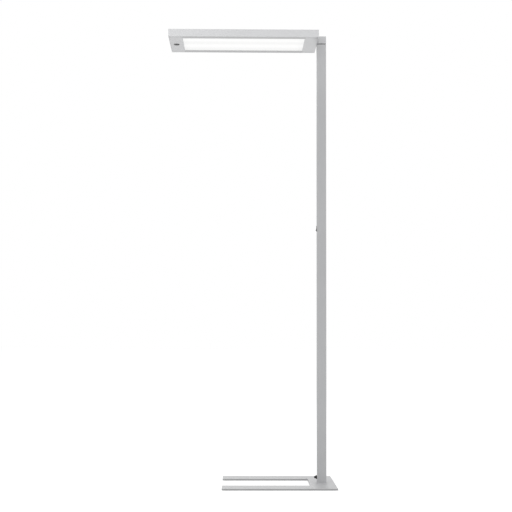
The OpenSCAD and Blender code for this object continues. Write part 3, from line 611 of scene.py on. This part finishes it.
def floor_plate():
    """The U-shaped floor plate, with a small radius along its cut edges, which are darker as painted shade."""
    low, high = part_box("base_plate")
    slot = high.y - BASE_BAND
    slot_end = high.x - BASE_BAND
    corners = [(low.x, low.y), (high.x, low.y), (high.x, high.y), (low.x, high.y)]
    corners += [(low.x, slot), (slot_end, slot), (slot_end, -slot), (low.x, -slot)]
    soft = 0.8 * MM
    screw_radius = 3.2 * MM
    sink = 3 * MM
    cuts = [(rounded_outline(corners, BASE_CORNER), soft_sides(low.z, high.z, soft))]
    for x in (-BASE_SCREW_PLACE, BASE_SCREW_PLACE):
        for y in (-BASE_SCREW_PLACE, BASE_SCREW_PLACE):
            cuts.append((hole(circle(x, y, screw_radius)), sunk_sides(low.z, high.z, sink)))
    mesh = plate("floor_plate", cuts)
    new_piece(mesh, "base_plate", PLATE_PAINTED_LIGHT_FINISH)
    # Faces that stand upright take a darker copy of the finish: painted shade on the cut edges
    mesh.materials.append(CUT_EDGE_PAINTED_SHADE_FINISH)
    steep = 0.5
    for face in mesh.polygons:
        face.material_index = int(abs(face.normal.z) < steep)


def floor_pads():
    """The rubber pads under the plate."""
    soft = 0.4 * MM
    low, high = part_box("column_pad")
    loop = rectangle(low, high, PAD_CORNER)
    new_piece(soft_plate("long_pad", [loop], low.z, high.z, soft), "column_pad")

    low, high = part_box("prong_pads")
    width = high.x - low.x
    pads = []
    for y in (low.y, high.y - width):
        loop = rectangle((low.x, y), (high.x, y + width), PAD_CORNER)
        pads.append(soft_plate("tip_pad", [loop], low.z, high.z, soft))
    new_piece(joined("tip_pads", pads), "prong_pads")


def block():
    """The block on the column, bored for the spindle, with its round cap."""
    low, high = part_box("head_block")
    cap_low, cap_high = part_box("block_cap")
    spindle_low, spindle_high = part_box("spindle")
    cap_radius = (cap_high.x - cap_low.x) / 2
    soft = 0.5 * MM
    fit = 0.05 * MM
    clearance = 0.1 * MM
    chamfer = 0.3 * MM
    socket = (spindle_high.x - spindle_low.x) / 2 + fit
    socket_end = spindle_high.z + 1 * MM
    seat = high.z - CAP_THICKNESS
    room = BLOCK_ROOM - socket
    recess = cap_radius + clearance - socket
    bore = [(0, low.z), (0, socket_end), (room, socket_end), (room, seat), (recess, seat)]
    bore += [(recess, high.z - chamfer), (recess + chamfer, high.z)]
    outer = (rectangle(low, high, COLUMN_CORNER), soft_sides(low.z, high.z, soft))
    shell = plate("block_shell", [outer, (hole(circle(0, 0, socket, 96)), bore)])
    # The block and its cap take a lighter copy of the lacquer, which is painted light
    new_piece(shell, "head_block", BLOCK_PAINTED_LIGHT_FINISH)

    top = cap_high.z - cap_low.z
    spigot = BLOCK_ROOM - clearance
    step = top - CAP_THICKNESS
    outline = [(0, 0), (0, spigot), (step, spigot), (step, cap_radius)]
    outline += [*rim(top, cap_radius, soft), (top, 0)]
    new_piece(turned("cap_disc", outline, (0, 0, cap_low.z), UP), "block_cap", BLOCK_PAINTED_LIGHT_FINISH)


def seam_washer():
    """The black washer in the seam, with a groove round its edge."""
    low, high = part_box("thrust_washer")
    outer = (high.x - low.x) / 2
    bore = 8.2 * MM
    thick = high.z - low.z
    soft = 0.3 * MM
    outline = [(0, bore), (0, outer - soft), (soft, outer), (0.4 * thick, outer)]
    outline += [(0.45 * thick, outer - soft), (0.55 * thick, outer - soft), (0.6 * thick, outer)]
    outline += [(thick - soft, outer), (thick, outer - soft), (thick, bore)]
    new_piece(turned("seam_ring", outline, (0, 0, low.z), UP), "thrust_washer")


def screw_places():
    """Where the head's sheets are screwed to its frame."""
    low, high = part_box("head_frame")
    step = (high.x - low.x - 2 * BOSS_INSET) / BOSS_SPACES
    rows = (low.y + BOSS_INSET, high.y - BOSS_INSET)
    return [(low.x + BOSS_INSET + i * step, y) for y in rows for i in range(BOSS_SPACES + 1)]


def head_shell():
    """The head's frame: walls with softened edges, and the tubes that its screws enter."""
    low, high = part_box("head_frame")
    inner_low = (low.x + HEAD_WALL, low.y + HEAD_WALL)
    inner_high = (high.x - HEAD_WALL, high.y - HEAD_WALL)
    inner_corner = 0.3 * MM
    soft = 0.5 * MM
    outer = rectangle(low, high, HEAD_CORNER)
    inner = rectangle(inner_low, inner_high, inner_corner)
    parts = [soft_plate("walls", [outer, hole(inner)], low.z, high.z, soft)]

    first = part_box("underside_panel")[1].z
    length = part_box("top_cover")[0].z - first
    bore = 1.55 * MM
    radius = 4.5 * MM
    outline = [(0, bore), (0, radius), (length, radius), (length, bore)]
    parts += [turned("boss", outline, (x, y, first), UP, 32) for x, y in screw_places()]
    new_piece(joined("head_shell", parts), "head_frame")


def sheet(name, node, down, finish=None):
    """One of the head's two sheets, with its window and its countersunk screw holes."""
    low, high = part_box(node)
    glow_low, glow_high = LOWER_PANEL
    window_low = (glow_low.x + WINDOW_LAP, glow_low.y + WINDOW_LAP)
    window_high = (glow_high.x - WINDOW_LAP, glow_high.y - WINDOW_LAP)
    sheet_corner = 0.5 * MM
    window_corner = 0.8 * MM
    screw_radius = 1.7 * MM
    clearance = 0.1 * MM
    rounded = soft_sides(low.z, high.z, 0.15 * MM)
    outer, inner = (low.z, high.z) if down else (high.z, low.z)
    sunk = sunk_sides(outer, inner, 1.3 * MM)
    window = rectangle(window_low, window_high, window_corner)
    cuts = [(rectangle(low, high, sheet_corner), rounded), (hole(window), rounded)]
    cuts += [(hole(circle(x, y, screw_radius)), sunk) for x, y in screw_places()]
    if down:
        sensor_low, sensor_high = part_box("sensor_bezel")
        middle = (sensor_low.x + sensor_high.x) / 2
        body = (sensor_high.x - sensor_low.x) / 2 - SENSOR_RIM
        cuts.append((hole(circle(middle, 0, body + clearance)), [(0, low.z), (0, high.z)]))
    new_piece(plate(name, cuts), node, finish)


def gland():
    """The black cord gland: shank, flange and a ribbed, tapering sleeve."""
    low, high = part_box("cable_gland")
    inlet = next(m for m in RECORD["mounts"] if m["name"] == "cable_inlet")
    bore = inlet["dims"]["r_mm"] * MM
    flange_radius = (high.z - low.z) / 2
    shank_radius = 6 * MM
    face = high.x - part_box("column_tube")[0].x
    flange_end = face + 4 * MM
    tip = high.x - low.x
    tip_radius = 4.25 * MM
    root_radius = flange_radius - 1 * MM
    soft = 0.4 * MM
    ribs = 4
    groove = 0.4 * MM
    step = (tip - 1.2 * MM - flange_end) / ribs
    outline = [(0, bore), (0, shank_radius - soft), (soft, shank_radius), (face, shank_radius)]
    outline += [(face, flange_radius - soft), (face + soft, flange_radius)]
    outline += [*rim(flange_end, flange_radius, soft), (flange_end, root_radius)]
    for rib in range(ribs):
        for share, cut_in in ((0.55, 0), (0.65, groove), (0.92, groove), (1.0, 0)):
            along = flange_end + (rib + share) * step
            taper = (along - flange_end) / (tip - flange_end)
            outline.append((along, root_radius + taper * (tip_radius - root_radius) - cut_in))
    outline += [(tip - soft, tip_radius), (tip, tip_radius - soft), (tip, bore + soft)]
    outline.append((tip - soft, bore))
    place = (high.x, 0, (low.z + high.z) / 2)
    new_piece(turned("cord_gland", outline, place, LEFT), "cable_gland")


def sensor():
    """The presence sensor: a stepped bezel, and a lens of shallow rings set back in it."""
    low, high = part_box("sensor_bezel")
    lens_low, lens_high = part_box("sensor_lens")
    middle = ((low.x + high.x) / 2, 0, low.z)
    outer = (high.x - low.x) / 2
    inner = (lens_high.x - lens_low.x) / 2
    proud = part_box("head_frame")[0].z - low.z
    body = outer - SENSOR_RIM
    top = high.z - low.z
    soft = 0.3 * MM
    outline = [(0, outer - 2 * soft), (soft, outer - soft / 2), (proud, outer), (proud, body)]
    outline += [(top, body), (top, inner), (2 * MM, inner), (1.2 * MM, inner + soft)]
    outline += [(soft, inner + 2 * soft), (0, inner + 3 * soft)]
    new_piece(turned("sensor_ring", outline, middle, UP), "sensor_bezel")

    rings = 6
    sink = 0.9 * MM
    ridge = 0.12 * MM
    back = lens_high.z - low.z
    outline = [(back, 0), (back, inner)]
    for ring in range(rings, 0, -1):
        share = ring / rings
        crown = sink * share * share
        outline += [(crown + ridge, inner * share), (crown, inner * share - ridge)]
    outline.append((ridge, 0))
    new_piece(turned("sensor_dome", outline, middle, UP), "sensor_lens")


def diffuser(name, node, down):
    """An acrylic panel with fine linear prisms on its outer face."""
    low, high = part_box(node)
    pitch = 3 * MM
    depth = 0.35 * MM
    count = round((high.y - low.y) / pitch)
    step = (high.y - low.y) / count
    face, back = (low.z, high.z) if down else (high.z, low.z)
    inward = depth if down else -depth
    section = [(low.y, back), (low.y, face)]
    for i in range(count):
        section.append((low.y + (i + 0.5) * step, face + inward))
        section.append((low.y + (i + 1) * step, face))
    section.append((high.y, back))
    points = [(x, y, z) for x in (low.x, high.x) for y, z in section]
    size = len(section)
    faces = [[i, (i + 1) % size, size + (i + 1) % size, size + i] for i in range(size)]
    faces += [list(range(size)), list(range(size, 2 * size))]
    new_piece(mesh_from(name, points, faces), node)


def switch():
    """The switch's thin frame and its housing in the column."""
    low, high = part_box("switch_housing")
    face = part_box("column_tube")[0].x
    floor_x = face + SWITCH_FLOOR
    middle = (low.z + high.z) / 2
    half_height = high.z - middle
    rocker_half = (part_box("rocker")[1].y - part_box("rocker")[0].y) / 2
    side_gap = 0.4 * MM
    end_gap = 1.1 * MM
    lip = 0.9 * MM
    opening = (rocker_half + side_gap, ROCKER_LENGTH / 2 + end_gap)
    body = (high.y - lip, half_height - lip)
    to_side = Matrix.Translation((0, 0, middle)) @ Matrix(
        ((0, 0, 1, 0), (1, 0, 0, 0), (0, 1, 0, 0), (0, 0, 0, 1))
    )

    gap = hole(rectangle((-opening[0], -opening[1]), opening, 0.4 * MM))
    frame_outline = rectangle((-high.y, -half_height), (high.y, half_height), 1 * MM)
    sleeve_outline = rectangle((-body[0], -body[1]), body, 0.5 * MM)
    shown_soft = 0.35 * MM
    hidden_soft = 0.1 * MM
    parts = [
        soft_plate("frame", [frame_outline, gap], low.x, face, shown_soft, to_side),
        soft_plate("sleeve", [sleeve_outline, gap], face, floor_x, hidden_soft, to_side),
        soft_plate("back", [sleeve_outline], floor_x, high.x, hidden_soft, to_side),
    ]
    new_piece(joined("switch_frame", parts), "switch_housing")


def rocker_profile():
    """The rocker's hollowed face and rounded tips, seen from the front, about its axle."""
    reach = -ROCKER_REACH
    half = ROCKER_LENGTH / 2
    corner = 0.7 * MM
    chamfer = corner * (1 - math.sqrt(0.5))
    arc = (half * half + ROCKER_HOLLOW * ROCKER_HOLLOW) / (2 * ROCKER_HOLLOW)
    half_turn = math.asin(half / arc)
    steps = 16
    face = [(reach + corner, half), (reach + chamfer, half - chamfer)]
    for step in range(1, steps):
        angle = half_turn * (1 - 2 * step / steps)
        face.append((reach + ROCKER_HOLLOW - arc * (1 - math.cos(angle)), arc * math.sin(angle)))
    face += [(reach + chamfer, chamfer - half), (reach + corner, -half)]
    outline = [(ROCKER_BACK, half), *face, (ROCKER_BACK, -half)]
    return [Vector(point) for point in outline]


def rocker():
    """The rocker, its upper end pressed in, with the short stem behind its axle."""
    low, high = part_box("rocker")
    joint = next(j for j in frame["joints"] if j["name"] == "rocker_tilt")
    axle = Vector(joint["pos_m"])
    tilt = math.radians(joint["range_deg"][1] / 2)
    to_side = Matrix(((1, 0, 0, 0), (0, 0, -1, 0), (0, 1, 0, 0), (0, 0, 0, 1)))
    turn = Matrix.Translation(axle) @ Matrix.Rotation(tilt, 4, "Y") @ to_side
    stem_half_height = 1.5 * MM
    stem_half_width = 2 * MM
    stem_low = (ROCKER_BACK, -stem_half_height)
    stem_high = (ROCKER_STEM, stem_half_height)
    stem = rectangle(stem_low, stem_high, 0.4 * MM)
    parts = [
        soft_plate("body", [rocker_profile()], low.y, high.y, 0.35 * MM, turn),
        soft_plate("stem", [stem], -stem_half_width, stem_half_width, 0.2 * MM, turn),
    ]
    new_piece(joined("switch_rocker", parts), "rocker")


def dress_frame():
    """Gives every CAD node the finish of its slot."""
    for name, node in frame["nodes"].items():
        node.data.materials.clear()
        node.data.materials.append(FINISH[SLOT_OF[name]])


# ---- Setting ----

def seen_directly(tree):
    """1 for rays from the camera and for those that a surface mirrors or lets through."""
    path = add(tree, "LightPath").outputs
    mirrored = maths(tree, "MAXIMUM", path["Is Glossy Ray"], path["Is Transmission Ray"])
    return maths(tree, "MAXIMUM", path["Is Camera Ray"], mirrored)


def sky():
    """A plain white surround that lights the lamp at a lower level than it shows."""
    world = bpy.data.worlds.new("studio")
    world.use_nodes = True
    bpy.context.scene.world = world
    tree = world.node_tree
    level = spread(tree, seen_directly(tree), SKY_LEVEL, 1.0, 0.0, 1.0)
    background = tree.nodes["Background"]
    background.inputs["Color"].default_value = (1, 1, 1, 1)
    tree.links.new(level, background.inputs["Strength"])


def floor():
    """A plain pale floor that keeps the lamp's shadow."""
    half = FLOOR_WIDTH / 2
    corners = [(-half, -half, 0), (half, -half, 0), (half, half, 0), (-half, half, 0)]
    mesh = mesh_from("floor", corners, [[0, 1, 2, 3]])
    plane = bpy.data.objects.new("floor", mesh)
    bpy.context.scene.collection.objects.link(plane)
    material, tree, shader = new_finish("floor", Roughness=FLOOR_ROUGHNESS)
    shader.inputs["Base Color"].default_value = (FLOOR_TONE, FLOOR_TONE, FLOOR_TONE, 1)
    shader.inputs["Specular IOR Level"].default_value = 0.0
    shader.inputs["Emission Color"].default_value = (1, 1, 1, 1)
    glow = maths(tree, "MULTIPLY", seen_directly(tree), FLOOR_GLOW)
    tree.links.new(glow, shader.inputs["Emission Strength"])
    mesh.materials.append(material)


def soft_lamps():
    """Large soft lamps around the object."""
    for name, place, aim, width, watts in SOFT_LAMPS:
        light = bpy.data.lights.new(name, "AREA")
        light.size = width
        light.energy = watts
        lamp = bpy.data.objects.new(name, light)
        bpy.context.scene.collection.objects.link(lamp)
        lamp.location = place
        direction = Vector(aim) - Vector(place)
        lamp.rotation_euler = direction.to_track_quat("-Z", "Y").to_euler()
        lamp.visible_camera = False


def camera():
    """The photograph's viewpoint."""
    lens = bpy.data.cameras.new("camera")
    lens.sensor_width = SENSOR_WIDTH
    lens.lens = FOCAL_PIXELS * SENSOR_WIDTH / FRAME_PIXELS
    lens.clip_end = VIEW_REACH
    view = bpy.data.objects.new("camera", lens)
    bpy.context.scene.collection.objects.link(view)
    view.matrix_world = (
        Matrix.Translation(CAMERA_PLACE)
        @ Matrix.Rotation(CAMERA_YAW, 4, "Z")
        @ Matrix.Rotation(math.pi / 2 + CAMERA_PITCH, 4, "X")
        @ Matrix.Rotation(CAMERA_ROLL, 4, "Z")
    )
    bpy.context.scene.camera = view


camera()
bpy.context.scene.view_settings.view_transform = "Standard"
sky()
floor()
soft_lamps()
dress_frame()
floor_plate()
floor_pads()
block()
seam_washer()
head_shell()
sheet("underside_sheet", "underside_panel", down=True, finish=UNDERSIDE_PAINTED_SHADE_FINISH)
sheet("top_sheet", "top_cover", down=False)
gland()
switch()
rocker()
sensor()
diffuser("lit_diffuser", "lower_diffuser", down=True)
diffuser("lit_top_panel", "upper_diffuser", down=False)
